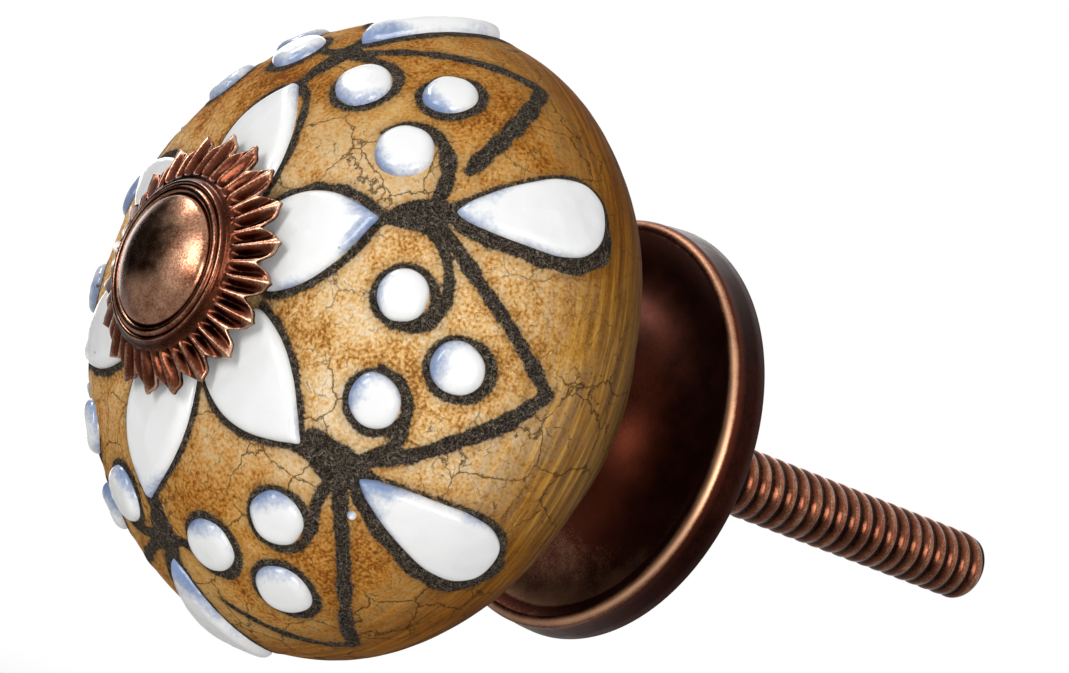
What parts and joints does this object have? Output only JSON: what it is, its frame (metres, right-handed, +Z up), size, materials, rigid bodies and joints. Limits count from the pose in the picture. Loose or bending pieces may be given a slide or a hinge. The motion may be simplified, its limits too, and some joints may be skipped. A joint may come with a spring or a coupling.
{
  "type": "cabinet knob",
  "caption": "Round painted ceramic cabinet knob with raised white flower ornament, fluted copper rosette under a domed bolt head, flared and dished copper back plate and threaded stud.",
  "frame": {"origin": "on the bolt's axis, in the plane of the back plate's drawer face", "axes": "+Y along the stud, away from the knob; -Y towards the domed head; +Z up, through the middle of one white petal"},
  "size_m": [0.0432, 0.0789, 0.0446],
  "materials": {
    "antique_copper": "antique copper plating, satin",
    "clay": "ochre clay, semi-matt, crackled",
    "white_glaze": "glossy white glaze"
  },
  "bodies": {
    "root": {"back_plate": "antique_copper", "ceramic_knob": "clay", "glaze_petals": "white_glaze", "glaze_drops": "white_glaze", "glaze_dots": "white_glaze", "rosette": "antique_copper", "dome_bolt": "antique_copper"}
  },
  "joints": []
}
